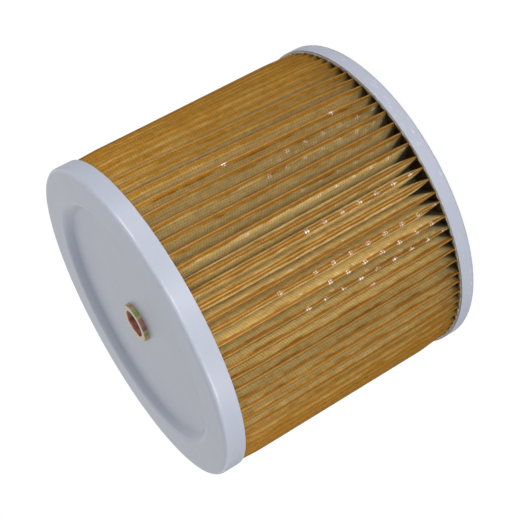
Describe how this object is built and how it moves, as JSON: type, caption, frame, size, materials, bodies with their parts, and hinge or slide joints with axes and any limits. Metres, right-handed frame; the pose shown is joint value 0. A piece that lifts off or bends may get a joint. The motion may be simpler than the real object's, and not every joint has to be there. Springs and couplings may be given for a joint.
{
  "type": "hydraulic suction filter element",
  "caption": "Cylindrical hydraulic strainer: pleated brass wire mesh on a perforated tube, between pressed grey end caps, with a steel bush in the closed end.",
  "frame": {"origin": "centre of the lower face of the seal on the open end, on the element's axis", "axes": "+Z along the axis, from the open end with its seal towards the closed end with its bush"},
  "size_m": [0.15, 0.15, 0.1326],
  "materials": {
    "cap_paint": "satin grey-white paint on pressed steel",
    "yellow_zinc": "yellow-passivated zinc on turned steel",
    "zinc_steel": "galvanised sheet steel",
    "brass_cloth": "woven brass wire cloth",
    "brass_support": "coarse brass support mesh",
    "potting": "pale grey cast adhesive",
    "seal_rubber": "black nitrile rubber"
  },
  "bodies": {
    "root": {"closed_end_cap": "cap_paint", "open_end_cap": "cap_paint", "centre_bush": "yellow_zinc", "seal_ring": "seal_rubber", "centre_tube": "zinc_steel", "outer_support_mesh": "brass_support", "filter_mesh": "brass_cloth", "inner_support_mesh": "brass_support", "side_seam_clip": "zinc_steel", "closed_end_adhesive": "potting", "open_end_adhesive": "potting"}
  },
  "joints": []
}
